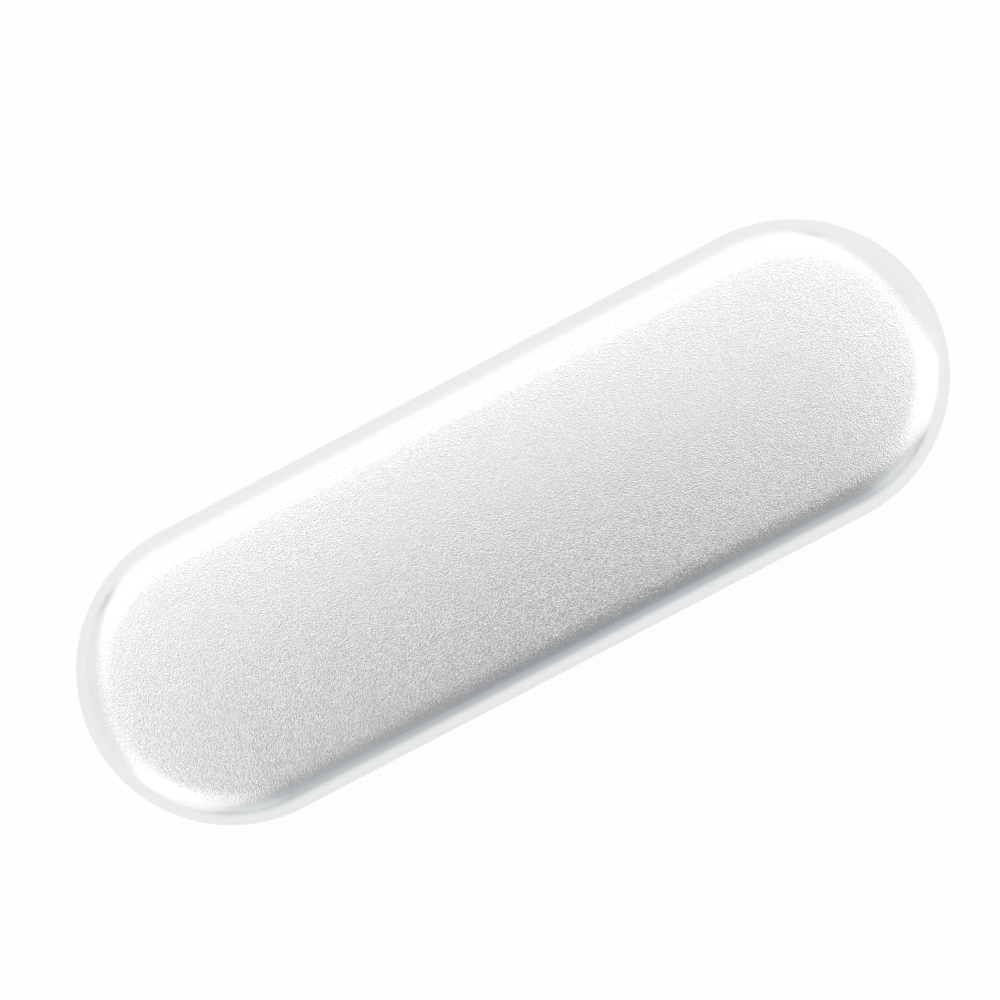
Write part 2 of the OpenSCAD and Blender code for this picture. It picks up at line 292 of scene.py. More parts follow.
def new_material(name, metallic=0.0, roughness=0.5):
    """A material with its tree, its Principled shader and the piece's own coordinates."""
    material = bpy.data.materials.new(name)
    material.use_nodes = True
    tree = material.node_tree
    shader = set_inputs(tree.nodes["Principled BSDF"], Metallic=metallic, Roughness=roughness)
    place = add_node(tree, "TexCoord").outputs["Object"]
    return material, tree, shader, place


# %% [markdown]
# ### Groups that several finishes share
#
# **Grit** is a fine, even roughness with a slow unevenness under it, as on blasted metal,
# flock and foam. Its fine noise is turned askew, so that no flat face cuts it along its
# cells. **Drawn lines** are long scratches in one direction, as on rolled sheet and wire.
# **Lint** is the few pale specks that dark, hairy surfaces always pick up. Noise keeps
# mostly to the middle of its range, so a Map Range node stretches it to the full range.

# %% Grit
grit, given, gives = new_group(
    "grit",
    [("Vector", "Vector"), ("Grains", "Float"), ("Patches", "Float")],
    [("Height", "Float"), ("Fleck", "Float"), ("Patch", "Float")],
)
askew = add_node(
    grit, "VectorRotate", {"rotation_type": "EULER_XYZ"},
    Vector=given.outputs["Vector"], Rotation=(0.7, 0.5, 0.3),
)
fine = add_node(
    grit, "TexNoise", Vector=askew.outputs["Vector"], Scale=given.outputs["Grains"], Detail=0.0
)
fleck = add_node(grit, "MapRange", Value=fine.outputs["Fac"], From_Min=0.38, From_Max=0.68)
slow = add_node(
    grit, "TexNoise", Vector=given.outputs["Vector"], Scale=given.outputs["Patches"],
    Detail=3.0, Roughness=0.5,
)
patch = add_node(grit, "MapRange", Value=slow.outputs["Fac"], From_Min=0.35, From_Max=0.65)
set_inputs(
    gives, Height=fine.outputs["Fac"], Fleck=fleck.outputs["Result"], Patch=patch.outputs["Result"]
)
print("group:", grit.name)

# %% Drawn lines
drawn_lines, given, gives = new_group(
    "drawn_lines",
    [("Vector", "Vector"), ("Stretch", "Vector"), ("Lines", "Float")],
    [("Height", "Float"), ("Streak", "Float")],
)
long_way = add_node(
    drawn_lines, "VectorMath", {"operation": "MULTIPLY"},
    _0=given.outputs["Vector"], _1=given.outputs["Stretch"],
)
lines = add_node(
    drawn_lines, "TexNoise", Vector=long_way.outputs["Vector"], Scale=given.outputs["Lines"],
    Detail=3.0, Roughness=0.65,
)
streak = add_node(drawn_lines, "MapRange", Value=lines.outputs["Fac"], From_Min=0.35, From_Max=0.65)
set_inputs(gives, Height=lines.outputs["Fac"], Streak=streak.outputs["Result"])
print("group:", drawn_lines.name)

# %% Lint
lint_bend = 1.2 * mm

lint, given, gives = new_group(
    "lint",
    [("Vector", "Vector"), ("Specks", "Float"), ("Amount", "Float")],
    [("Mask", "Float")],
)
bent = add_node(lint, "TexNoise", Vector=given.outputs["Vector"], Scale=900.0, Detail=1.0)
pulled = add_node(
    lint, "VectorMath", {"operation": "MULTIPLY_ADD"},
    _0=bent.outputs["Color"], _1=(lint_bend, lint_bend, lint_bend), _2=given.outputs["Vector"],
)
cells = add_node(lint, "TexVoronoi", Vector=pulled.outputs["Vector"], Scale=given.outputs["Specks"])
speck = add_node(lint, "MapRange", Value=cells.outputs["Distance"], From_Min=0.10, From_Max=0.04)
chosen = add_node(
    lint, "Math", {"operation": "LESS_THAN"},
    _0=cells.outputs["Color"], _1=given.outputs["Amount"],
)
mask = add_node(
    lint, "Math", {"operation": "MULTIPLY"}, _0=speck.outputs["Result"], _1=chosen.outputs[0]
)
set_inputs(gives, Mask=mask.outputs[0])
print("group:", lint.name)

# %% [markdown]
# ### Blasted aluminium
#
# The shells are drawn from sheet, blasted with fine beads, and anodised clear. Beads leave
# tiny dents that mirror the light in every direction, which reads as a sparkling grain in
# the darker part of the lid. So the grain is a bump more than a colour. It fades out over
# the rounded edge, which the photo shows smooth. Along the seam the anodising is rubbed
# and the metal is a little brighter and smoother. Both are laid out by the distance from
# the seam, so they fit the lid and the base alike.

# %% Grain on the flat face
metal_light = (0.98, 0.961, 0.939, 1)
metal_dark = (0.80, 0.785, 0.767, 1)
bead_dents = 5000.0
bead_depth = 0.046 * mm
rim_tone = 0.5
face_from_seam = 9.2 * mm
face_full = 10.3 * mm

aluminium, tree, shader, place = new_material("blasted_aluminium", metallic=1.0)
dents = add_group(tree, grit, Vector=place, Grains=bead_dents, Patches=28.0)
height = add_node(tree, "SeparateXYZ", Vector=place)
from_seam = add_node(tree, "Math", {"operation": "SUBTRACT"}, _0=height.outputs["Z"], _1=seam_z)
apart = add_node(tree, "Math", {"operation": "ABSOLUTE"}, _0=from_seam.outputs[0])
flat_face = add_node(
    tree, "MapRange", {"interpolation_type": "SMOOTHSTEP"},
    Value=apart.outputs[0], From_Min=face_from_seam, From_Max=face_full,
)
speckle = add_node(
    tree, "Mix", {"data_type": "FLOAT"},
    _0=flat_face.outputs["Result"], _2=rim_tone, _3=dents.outputs["Fleck"],
)
tone = mix_colours(tree, speckle.outputs[0], metal_dark, metal_light)
dent_height = add_node(
    tree, "Math", {"operation": "MULTIPLY"},
    _0=dents.outputs["Height"], _1=flat_face.outputs["Result"],
)
bump = add_node(tree, "Bump", Strength=1.0, Distance=bead_depth, Height=dent_height.outputs[0])
set_inputs(shader, Normal=bump.outputs["Normal"])
print("material:", aluminium.name)

# %% Wear along the seam
satin = 0.275
rubbed_satin = 0.2
rubbed_metal = (0.9, 0.9, 0.9, 1)
rub_reach = 0.35 * mm
rub_full = 0.1 * mm

rub = add_node(
    tree, "MapRange", {"interpolation_type": "SMOOTHSTEP"},
    Value=apart.outputs[0], From_Min=rub_reach, From_Max=rub_full,
)
worn = add_node(
    tree, "Math", {"operation": "MULTIPLY"},
    _0=rub.outputs["Result"], _1=dents.outputs["Patch"],
)
metal = mix_colours(tree, worn.outputs[0], tone, rubbed_metal)
shine = add_node(tree, "MapRange", Value=worn.outputs[0], To_Min=satin, To_Max=rubbed_satin)
set_inputs(shader, Base_Color=metal, Roughness=shine.outputs["Result"])
print("rubbed edge, mm:", round(rub_reach / mm, 2))

# %% [markdown]
# ### Flock
#
# The trays are moulded and then flocked: short fibres stand on end in a coat of glue. The
# fibres catch light at a slant, so the finish is nearly black from above and greyer along
# every rounded edge. Sheen gives that, over a soft, close bump.

# %% Flock
flock_dark = (0.012, 0.012, 0.013, 1)
flock_light = (0.046, 0.046, 0.048, 1)
lint_on_flock = (0.22, 0.22, 0.22, 1)

flock, tree, shader, place = new_material("black_flock", roughness=0.95)
set_inputs(
    shader, Specular_IOR_Level=0.05,
    Sheen_Weight=0.7, Sheen_Roughness=0.6, Sheen_Tint=(0.75, 0.77, 0.8, 1),
)
fibres = add_group(tree, grit, Vector=place, Grains=7500.0, Patches=260.0)
shade = mix_colours(tree, fibres.outputs["Fleck"], flock_dark, flock_light)
fluff = add_group(tree, lint, Vector=place, Specks=260.0, Amount=0.07)
dusted = mix_colours(tree, fluff.outputs["Mask"], shade, lint_on_flock)
bump = add_node(tree, "Bump", Strength=1.0, Distance=0.16 * mm, Height=fibres.outputs["Height"])
set_inputs(shader, Base_Color=dusted, Normal=bump.outputs["Normal"])
print("material:", flock.name)

# %% [markdown]
# ## Shells
#
# Each shell is drawn from one blank of aluminium, so it is one thin skin with no seams: a
# nearly flat face, a long rounded edge, and a short straight wall down to the seam. The
# same section goes all round the stadium. By hand, that is one profile drawn from a single
# point, carried along the straight side, spun round one end, carried back, and spun round
# the other. It keeps the edge's radius true, which a bevelled box wouldn't at the ends.

# %% Drawing with a single point
end_steps = 48
arc_steps = 14


def start_point(name, place):
    """A new piece in edit mode that is one point: a plane with its corners merged."""
    bpy.ops.object.select_all(action="DESELECT")
    bpy.ops.mesh.primitive_plane_add(size=mm)
    piece = bpy.context.object
    piece.name = piece.data.name = name
    bpy.ops.object.mode_set(mode="EDIT")
    bpy.ops.mesh.select_all(action="SELECT")
    bpy.ops.mesh.merge(type="CENTER")
    bpy.ops.transform.translate(value=place)
    return piece, Vector(place)


def draw_line(pen, goal):
    """Extrudes what is selected from pen to goal, and returns goal as the new pen."""
    goal = Vector(goal)
    bpy.ops.mesh.extrude_region_move(TRANSFORM_OT_translate={"value": goal - pen})
    return goal


def draw_arc(pen, centre, degrees, steps=arc_steps, axis="X"):
    """Spins what is selected round centre, right-handed, and returns the new pen. The spin
    tool itself turns left-handed, so its angle is given with the other sign."""
    centre = Vector(centre)
    angle = math.radians(degrees)
    along = {"X": (1, 0, 0), "Y": (0, 1, 0), "Z": (0, 0, 1)}[axis]
    bpy.ops.mesh.spin(steps=steps, angle=-angle, center=centre, axis=along)
    return centre + Matrix.Rotation(angle, 3, axis) @ (pen - centre)


# %% Selecting and closing


def select_places(piece, wanted, mode="VERT"):
    """Goes to edit mode and selects the points, edges or faces whose corners are all at
    wanted places, and nothing else."""
    bpy.ops.object.mode_set(mode="EDIT")
    bpy.ops.mesh.select_mode(type=mode)
    bpy.ops.mesh.select_all(action="DESELECT")
    bpy.ops.object.mode_set(mode="OBJECT")
    points = piece.data.vertices
    if mode == "VERT":
        for point in points:
            point.select = wanted(point.co)
    else:
        for part in piece.data.edges if mode == "EDGE" else piece.data.polygons:
            part.select = all(wanted(points[i].co) for i in part.vertices)
    bpy.ops.object.mode_set(mode="EDIT")


def close_up(weld):
    """Merges points nearer than weld, turns all faces outwards and leaves edit mode."""
    bpy.ops.mesh.select_all(action="SELECT")
    bpy.ops.mesh.remove_doubles(threshold=weld)
    bpy.ops.mesh.normals_make_consistent(inside=False)
    bpy.ops.object.mode_set(mode="OBJECT")


def report(piece):
    """Prints a piece's size in millimetres and its number of faces."""
    co = [piece.matrix_world @ v.co for v in piece.data.vertices]
    size = [(max(c[i] for c in co) - min(c[i] for c in co)) / mm for i in range(3)]
    print(piece.name, [round(s, 2) for s in size], len(piece.data.polygons), "faces")


# %% Section of the case, and its way round
bend_in = half_w - edge_r
crown_steps = 6
case_weld = 0.005 * mm


def arc_over(half, rise):
    """Radius of the arc that rises by rise over a chord, and the degrees that half of it
    turns. Half is half of the chord."""
    radius = (half**2 + rise**2) / (2 * rise)
    return radius, math.degrees(math.asin(half / radius))


def draw_crown(pen, crown, start=0):
    """Goes on from a place that is start degrees round the rounded edge, and over the
    crown to the middle line."""
    crown_r, lean = arc_over(bend_in, crown)
    pen = draw_arc(pen, (-straight, -bend_in, edge_r + crown), 90 - lean - start)
    draw_arc(pen, (-straight, 0, edge_r + crown_r), lean, crown_steps)


def draw_section(name, rim, inset, crown):
    """Draws half of a section, open side up: the rim's steps, each as a distance inside
    the outline and a height, then the wall, the rounded edge and the floor."""
    (first_in, first_z), *others = rim
    piece, pen = start_point(name, (-straight, first_in - half_w, first_z))
    for step_in, z in others:
        pen = draw_line(pen, (-straight, step_in - half_w, z))
    pen = draw_line(pen, (-straight, inset - half_w, edge_r + crown))
    if crown:
        draw_crown(pen, crown)
    else:
        pen = draw_arc(pen, (-straight, -bend_in, edge_r), 90)
        draw_line(pen, (-straight, 0, inset))
    return piece


def carry_round(turned_over=False):
    """Carries the drawn section once round the case's outline and closes it."""
    bpy.ops.mesh.select_all(action="SELECT")
    for side in (1, -1):
        draw_line(Vector(), (2 * side * straight, 0, 0))
        draw_arc(Vector(), (side * straight, 0, 0), 180, end_steps, "Z")
    bpy.ops.mesh.select_all(action="SELECT")
    if turned_over:
        bpy.ops.transform.resize(value=(1, 1, -1), center_override=(0, 0, case_h / 2))
    close_up(case_weld)


# %% Modifiers, applied
sharp_turn = math.radians(35)


def select_only(*pieces):
    """Selects these pieces and nothing else, and makes the first one active."""
    bpy.ops.object.select_all(action="DESELECT")
    for piece in pieces:
        piece.select_set(True)
    bpy.context.view_layer.objects.active = pieces[0]


def apply_modifier(piece, modifier):
    """Makes what a modifier shows the piece's own mesh."""
    select_only(piece)
    bpy.ops.object.modifier_apply(modifier=modifier.name)


def thicken(piece, thickness, offset=-1.0):
    """Gives a skin its wall, inwards from its outer face unless offset says otherwise."""
    wall = piece.modifiers.new("wall", "SOLIDIFY")
    wall.thickness = thickness
    wall.offset = offset
    wall.use_even_offset = True
    apply_modifier(piece, wall)


def carve(piece, cutter):
    """Cuts a cutter out of a piece and throws the cutter away."""
    cut = piece.modifiers.new("cut", "BOOLEAN")
    cut.operation = "DIFFERENCE"
    cut.object = cutter
    cut.solver = "EXACT"
    apply_modifier(piece, cut)
    bpy.data.objects.remove(cutter)


def soften_edges(piece, width, steps=2):
    """Rounds the edges that turn by more than the sharp turn, and smooths the rest."""
    edge = piece.modifiers.new("edge", "BEVEL")
    edge.width = width
    edge.segments = steps
    edge.limit_method = "ANGLE"
    edge.angle_limit = sharp_turn
    apply_modifier(piece, edge)
    bpy.ops.object.shade_smooth_by_angle(angle=sharp_turn)


# %% Cutters
middle_band = 0.001 * mm


def block(low, high):
    """A box between two corners."""
    low, high = Vector(low), Vector(high)
    bpy.ops.object.select_all(action="DESELECT")
    bpy.ops.mesh.primitive_cube_add(size=1, location=(low + high) / 2, scale=high - low)
    return bpy.context.object


def rod(place, radius, length, axis, sides=48):
    """A round bar with its middle at a place, along an axis."""
    turn = {"X": (0, math.pi / 2, 0), "Y": (math.pi / 2, 0, 0), "Z": (0, 0, 0)}[axis]
    bpy.ops.object.select_all(action="DESELECT")
    bpy.ops.mesh.primitive_cylinder_add(
        vertices=sides, radius=radius, depth=length, location=place, rotation=turn
    )
    return bpy.context.object


def long_rod(place, radius, length, reach, axis):
    """A rod pulled apart along X, so that its outline is a stadium."""
    bar = rod(place, radius, length, axis)
    bpy.ops.object.transform_apply(location=False, rotation=True, scale=True)
    for side in (1, -1):
        select_places(bar, lambda p: p.x * side > middle_band)
        bpy.ops.transform.translate(value=(side * reach, 0, 0))
        bpy.ops.object.mode_set(mode="OBJECT")
    return bar


# %% Openings in the shells
barrel_r = half_w - pivot.y
leaf_y = pivot.y - barrel_r
stop_angle = math.radians(104)
relief = barrel_r * math.tan(stop_angle / 2)
opening_half = straight + math.sqrt(half_w**2 - pivot.y**2) + relief / 2
notch_w = 18 * mm
notch_d = 1.6 * mm
notch_r = arc_over(notch_w / 2, notch_d)[0]
lip_step = 0.25 * mm
lip_out = tray_in + lip_step
wide_arc_sides = 256


def rear_opening():
    """Cutter for the long opening behind the hinges, with rounded corners."""
    deep = 2 * (half_w - leaf_y)
    return long_rod((0, leaf_y + deep / 2, seam_z), relief, deep, opening_half - relief, "Y")


def thumb_notch():
    """Cutter for the shallow arc in the base's front edge."""
    deep = 2 * lip_out
    place = (0, -half_w + lip_out - deep / 2, seam_z - notch_d + notch_r)
    return rod(place, notch_r, deep, "Y", wide_arc_sides)


print("opening, mm:", round(2 * opening_half / mm, 1), "notch radius", round(notch_r / mm, 1))

# %% Both shells
rim_round = 0.12 * mm


def draw_shell(name, crown, depth, lid):
    """One shell as a skin with its wall, and with the opening for the hinges cut."""
    shell = draw_section(name, [(0, depth)], 0, crown)
    carry_round(turned_over=lid)
    thicken(shell, shell_t)
    carve(shell, rear_opening())
    return shell


base_shell = draw_shell("drawn_base_shell", 0, base_top, False)
carve(base_shell, thumb_notch())
lid_shell = draw_shell("drawn_lid_shell", crown_h, lid_depth, True)
for shell, body, node in ((base_shell, "base", "base_shell"), (lid_shell, "lid", "lid_shell")):
    soften_edges(shell, rim_round)
    shell.data.materials.append(aluminium)
    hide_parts(node)
    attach(shell, body)
    report(shell)

# %% [markdown]
# ## Trays
#
# Each tray is one moulding: a thin skin parallel to its shell, with a straight wall and a
# ledge at the rear that leave a channel for the hinges. The base tray also has a flat rim
# and a low lip that guides the lid. Two closed blocks are drawn by the shell's section,
# one for the outside and one for the hollow, and the hollow is cut out of the block. Flock
# hides every sharp edge, so all edges get a soft rounding at the end.

# %% Hinge channel
leaf_low, leaf_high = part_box("base_hinge_leaf_right")
hinge_half = (leaf_high.x - leaf_low.x) / 2
hinge_x = leaf_high.x - hinge_half
leaf_t = 0.6 * mm
leaf_h = seam_z - leaf_low.z
knuckle_l = 4 * mm
knuckle_gap = 0.2 * mm
barrel_gap = 0.35 * mm
leaf_top = barrel_r + barrel_gap
channel_gap = 0.5 * mm
channel_drop = leaf_h + channel_gap
past_seam = 3 * mm
base_knuckle = hinge_half - knuckle_l
lid_knuckle = base_knuckle - knuckle_gap - knuckle_l


def rear_space(lid, front, depth):
    """Box cutter for all that lies behind a plane, from past the seam to a depth, down in
    the base or up in the lid."""
    side = 1 if lid else -1
    low, high = sorted((seam_z - side * past_seam, seam_z + side * depth))
    return block((-case_l, front, low), (case_l, case_w, high))


print("hinge middles, mm:", round(hinge_x / mm, 2), "half width", round(hinge_half / mm, 2))

# %% Rivet places and holes
rivet_d = 1.6 * mm
rivet_head_t = 0.4 * mm
rivet_hole_r = rivet_d / 2 + 0.05 * mm
rivet_hole_l = 4 * mm
rivet_x = (lid_knuckle + hinge_half) / 2
rivet_drop = (leaf_top + leaf_h) / 2
rivet_places = [side * hinge_x + end * rivet_x for side in (-1, 1) for end in (-1, 1)]


def rivet_hole(x, y, lid):
    """Cutter for one rivet's hole, down in the base or up in the lid."""
    side = 1 if lid else -1
    place = (x, y, seam_z + side * rivet_drop)
    return rod(place, rivet_hole_r, rivet_hole_l, "Y", sides=32)


def cut_hinge_seats(tray, lid):
    """Cuts the channel, the groove for the knuckles and the rivet holes."""
    carve(tray, rear_space(lid, leaf_y, channel_drop))
    carve(tray, rod((0, pivot.y, seam_z), leaf_top, 2 * case_l, "X"))
    for x in rivet_places:
        carve(tray, rivet_hole(x, leaf_y, lid))


print("rivets, mm:", [round(x / mm, 2) for x in rivet_places])

# %% Both trays
lip_t = 0.8 * mm
lip_h = 1.2 * mm
lip_in = lip_out + lip_t
lip_top = seam_z + lip_h
lip_rear = 10 * mm
rim_t = 2.0 * mm
rim_low = base_top - rim_t
flock_round = 0.22 * mm


def mould_tray(name, rim, mouth, crown, lid):
    """Draws a tray's outside as a closed block and cuts its hollow out of it."""
    tray = draw_section(name, rim, tray_out, crown)
    carry_round(turned_over=lid)
    hollow = draw_section(name + "_hollow", mouth, tray_in, crown)
    carry_round(turned_over=lid)
    carve(hollow, rear_space(lid, leaf_y - tray_t, channel_drop + tray_t))
    carve(tray, hollow)
    cut_hinge_seats(tray, lid)
    return tray


base_tray = mould_tray(
    "flocked_base_tray",
    [(half_w, lip_top), (lip_out, lip_top), (lip_out, base_top), (tray_out, base_top)],
    [(half_w, case_h), (lip_in, case_h), (lip_in, rim_low), (tray_in, rim_low)],
    0,
    False,
)
carve(base_tray, block((-case_l, lip_rear, base_top), (case_l, case_w, case_h)))
carve(base_tray, thumb_notch())
lid_tray = mould_tray(
    "flocked_lid_tray",
    [(half_w, lid_depth), (tray_out, lid_depth)],
    [(half_w, case_h), (tray_in, case_h)],
    crown_h,
    True,
)
for tray, body, node in ((base_tray, "base", "base_tray"), (lid_tray, "lid", "lid_tray")):
    soften_edges(tray, flock_round, 3)
    tray.data.materials.append(flock)
    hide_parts(node)
    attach(tray, body)
    report(tray)

# %% [markdown]
# ## Foam
#
# The base holds a thin plain sheet of foam with a slotted one on it, and the lid a pad
# that keeps the tools from rattling. All are die-cut from sheet with a velvet face, so
# they are flat where they lie and their cut edges roll over softly. Foam that is cut, not
# stuffed, has no seams and doesn't puff up, so no cloth simulation is run: each piece is
# cut from a block, remeshed into small even cells, and smoothed, which rounds every edge
# as the die does.

# %% Velvet
velvet_dark = (0.028, 0.028, 0.030, 1)
velvet_light = (0.038, 0.038, 0.041, 1)
hair_tips = (0.020, 0.020, 0.021, 1)
lint_on_velvet = (0.26, 0.26, 0.26, 1)

velvet, tree, shader, place = new_material("velvet_face", roughness=1.0)
set_inputs(
    shader, Specular_IOR_Level=0.1,
    Sheen_Weight=0.8, Sheen_Roughness=0.35, Sheen_Tint=(0.8, 0.8, 0.84, 1),
)
nap = add_group(tree, grit, Vector=place, Grains=9000.0, Patches=110.0)
strokes = mix_colours(tree, nap.outputs["Patch"], velvet_dark, velvet_light)
hairs = mix_colours(tree, nap.outputs["Fleck"], strokes, hair_tips, "ADD")
fluff = add_group(tree, lint, Vector=place, Specks=200.0, Amount=0.08)
dusted = mix_colours(tree, fluff.outputs["Mask"], hairs, lint_on_velvet)
bump = add_node(tree, "Bump", Strength=1.0, Distance=0.1 * mm, Height=nap.outputs["Height"])
set_inputs(shader, Base_Color=dusted, Normal=bump.outputs["Normal"])
print("material:", velvet.name)

# %% Cut foam
# The darker colour is painted shade in the hollows of the pores, and the lighter one is the foam's
# own charcoal.
painted_pore_shade = (0.012, 0.012, 0.012, 1)
foam_light = (0.050, 0.050, 0.053, 1)
pore_bend = 0.6 * mm

cut_foam, tree, shader, place = new_material("cut_foam", roughness=1.0)
wander = add_node(tree, "TexNoise", Vector=place, Scale=1400.0, Detail=1.0)
strayed = add_node(
    tree, "VectorMath", {"operation": "MULTIPLY_ADD"},
    _0=wander.outputs["Color"], _1=(pore_bend, pore_bend, pore_bend), _2=place,
)
pores = add_node(tree, "TexVoronoi", Vector=strayed.outputs["Vector"], Scale=4200.0)
uneven = add_group(tree, grit, Vector=place, Grains=5200.0, Patches=120.0)
# The pores are darker where they are deep and the bump is low, which is painted shade over the
# foam's own colour.
pore_hollow_and_shade = add_node(tree, "MapRange", Value=pores.outputs["Distance"], From_Min=0.15, From_Max=0.55)
foam_colour_and_pore_shade = mix_colours(tree, pore_hollow_and_shade.outputs["Result"], painted_pore_shade, foam_light)
bump = add_node(tree, "Bump", Strength=1.0, Distance=0.12 * mm, Height=pore_hollow_and_shade.outputs["Result"])
rough = add_node(
    tree, "Bump", Strength=0.6, Distance=0.05 * mm,
    Height=uneven.outputs["Height"], Normal=bump.outputs["Normal"],
)
set_inputs(
    shader, Specular_IOR_Level=0.2, Base_Color=foam_colour_and_pore_shade, Normal=rough.outputs["Normal"]
)
print("material:", cut_foam.name)

# %% Blocks of foam
backing_t = 1.2 * mm
cushion_t = 3.3 * mm
pad_t = 2.5 * mm
foam_gap = 0.15 * mm
foam_rear = leaf_y - tray_t - rivet_head_t - foam_gap
backing_top = foam_out + backing_t
cushion_top = backing_top + cushion_t
pad_depth = foam_out + crown_h + pad_t
side_steps = 8


def draw_foam(name, low, high, crown=0, lid=False):
    """A closed block that fills the tray's outline between two heights, its side rounded
    as the tray is. Low may be left out, and then the block goes down to the tray."""
    bend_z = edge_r + crown
    side_r = edge_r - foam_out

    def fall(z):
        """How many degrees round the rounded side a height is."""
        return math.degrees(math.asin(min(1, (bend_z - z) / side_r)))

    start = fall(high)
    side_y = bend_in + side_r * math.cos(math.radians(start))
    piece, pen = start_point(name, (-straight, 0, high))
    pen = draw_line(pen, (-straight, -side_y, high))
    if low is None:
        draw_crown(pen, crown, start)
    else:
        pen = draw_arc(pen, (-straight, -bend_in, bend_z), fall(low) - start, side_steps)
        draw_line(pen, (-straight, 0, low))
    carry_round(turned_over=lid)
    carve(piece, block((-case_l, foam_rear, -mm), (case_l, case_w, case_h + mm)))
    return piece


print("foam's rear edge, mm:", round(foam_rear / mm, 2))

# %% Soft edges and faces
velvet_facing = 0.55


def soften_foam(piece, cell, passes):
    """Remeshes a block of foam into even cells and smooths it, which rolls its edges."""
    select_only(piece)
    piece.data.remesh_voxel_size = cell
    bpy.ops.object.voxel_remesh()
    rolled = piece.modifiers.new("rolled", "SMOOTH")
    rolled.factor = 0.5
    rolled.iterations = passes
    apply_modifier(piece, rolled)
    bpy.ops.object.shade_smooth()


def face_foam(piece, up):
    """Velvet on the face that shows, and open foam on every cut side."""
    piece.data.materials.append(velvet)
    piece.data.materials.append(cut_foam)
    for face in piece.data.polygons:
        face.material_index = 0 if face.normal.z * up > velvet_facing else 1


# %% Slots and the finger scoop
slot_w = 6.2 * mm
slot_pitch = 10.4 * mm
slot_end = 18 * mm
slot_reach = case_l / 2 - slot_end - slot_w / 2
scoop_w = 26 * mm
scoop_d = 2 * mm
scoop_r = arc_over(scoop_w / 2, scoop_d)[0]

backing = draw_foam("foam_backing", foam_out, backing_top)
cushion = draw_foam("slotted_foam", backing_top, cushion_top)
for i in range(4):
    place = (0, (i - 1.5) * slot_pitch, backing_top)
    carve(cushion, long_rod(place, slot_w / 2, 4 * cushion_t, slot_reach, "Z"))
place = (0, 0, cushion_top - scoop_d + scoop_r)
carve(cushion, rod(place, scoop_r, case_w, "Y", wide_arc_sides))
pad = draw_foam("foam_lid_pad", None, pad_depth, crown_h, lid=True)
foam_pieces = (
    (backing, 0.7, 3, 1, "base", "cushion_backing"),
    (cushion, 0.5, 4, 1, "base", "tool_cushion"),
    (pad, 0.6, 4, -1, "lid", "lid_pad"),
)
for piece, cell, passes, up, body, node in foam_pieces:
    soften_foam(piece, cell * mm, passes)
    face_foam(piece, up)
    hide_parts(node)
    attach(piece, body)
    report(piece)

# %% [markdown]
# ## Hinges
#
# A hinge leaf is stamped from sheet and its knuckles are rolled round a rod, so each
# knuckle is a curl with a fine slit where the sheet comes back to itself, and not a solid
# tube. The leaf is drawn as a strip of faces along its free edge, pulled up, and its
# knuckle strips are spun round the pin. Then the sheet gets its thickness.

# %% Plated leaf
plate_cool = (0.60, 0.60, 0.61, 1)
plate_warm = (0.68, 0.675, 0.66, 1)

leaf_metal, tree, shader, place = new_material("plated_leaf", metallic=1.0)
rolled = add_group(tree, drawn_lines, Vector=place, Stretch=(0.06, 1.0, 1.0), Lines=5200.0)
spots = add_group(tree, grit, Vector=place, Grains=2600.0, Patches=260.0)
plate = mix_colours(tree, spots.outputs["Patch"], plate_cool, plate_warm)
polish = add_node(tree, "MapRange", Value=rolled.outputs["Streak"], To_Min=0.22, To_Max=0.36)
bump = add_node(tree, "Bump", Strength=0.6, Distance=0.006 * mm, Height=rolled.outputs["Height"])
set_inputs(
    shader, Base_Color=plate, Roughness=polish.outputs["Result"], Normal=bump.outputs["Normal"]
)
print("material:", leaf_metal.name)

# %% Strip and curls of a leaf
curl_turn = 305
curl_steps = 24
notch_h = 3.6 * mm
tiny = 0.01 * mm
sheet_y = leaf_y + leaf_t / 2
free_z = pivot.z - leaf_h
notch_z = pivot.z - notch_h
top_z = pivot.z - leaf_top


def draw_strip(name, middle, first):
    """The flat leaf as a strip of faces, with the notch for the spring taken out."""
    stops = sorted({first, first + knuckle_l, lid_knuckle, hinge_half})
    stops = [-x for x in reversed(stops)] + stops
    leaf, pen = start_point(name, (middle + stops[0], sheet_y, free_z))
    for x in stops[1:]:
        pen = draw_line(pen, (middle + x, sheet_y, free_z))
    bpy.ops.mesh.select_all(action="SELECT")
    for low, high in ((free_z, notch_z), (notch_z, top_z)):
        draw_line(Vector((0, 0, low)), (0, 0, high))
    select_places(
        leaf,
        lambda p: abs(p.x - middle) < lid_knuckle + tiny and p.z > notch_z - tiny,
        "FACE",
    )
    bpy.ops.mesh.delete(type="FACE")
    return leaf


def curl_knuckles(leaf, middle, first):
    """Pulls the two knuckle strips up to the pin's height and rolls them round it."""
    last = first + knuckle_l
    select_places(
        leaf,
        lambda p: first - tiny < abs(p.x - middle) < last + tiny and p.z > top_z - tiny,
        "EDGE",
    )
    draw_line(Vector((0, 0, -leaf_top)), (0, 0, 0))
    draw_arc(Vector(), (0, pivot.y, pivot.z), -curl_turn, curl_steps)
    bpy.ops.mesh.select_mode(type="VERT")


print("leaf, mm:", round(leaf_h / mm, 2), "high, curls turn by", curl_turn, "degrees")

# %% Four leaves
leaf_round = 0.08 * mm
part_weld = 0.002 * mm


def roll_leaf(name, side, first, lid):
    """A leaf on one hinge, with knuckles that start a distance out from its middle."""
    middle = side * hinge_x
    leaf = draw_strip(name, middle, first)
    curl_knuckles(leaf, middle, first)
    bpy.ops.mesh.select_all(action="SELECT")
    if lid:
        bpy.ops.transform.resize(value=(1, 1, -1), center_override=(0, 0, pivot.z))
    close_up(part_weld)
    thicken(leaf, leaf_t, 0.0)
    for end in (-1, 1):
        carve(leaf, rivet_hole(middle + end * rivet_x, sheet_y, lid))
    soften_edges(leaf, leaf_round)
    leaf.data.materials.append(leaf_metal)
    return leaf


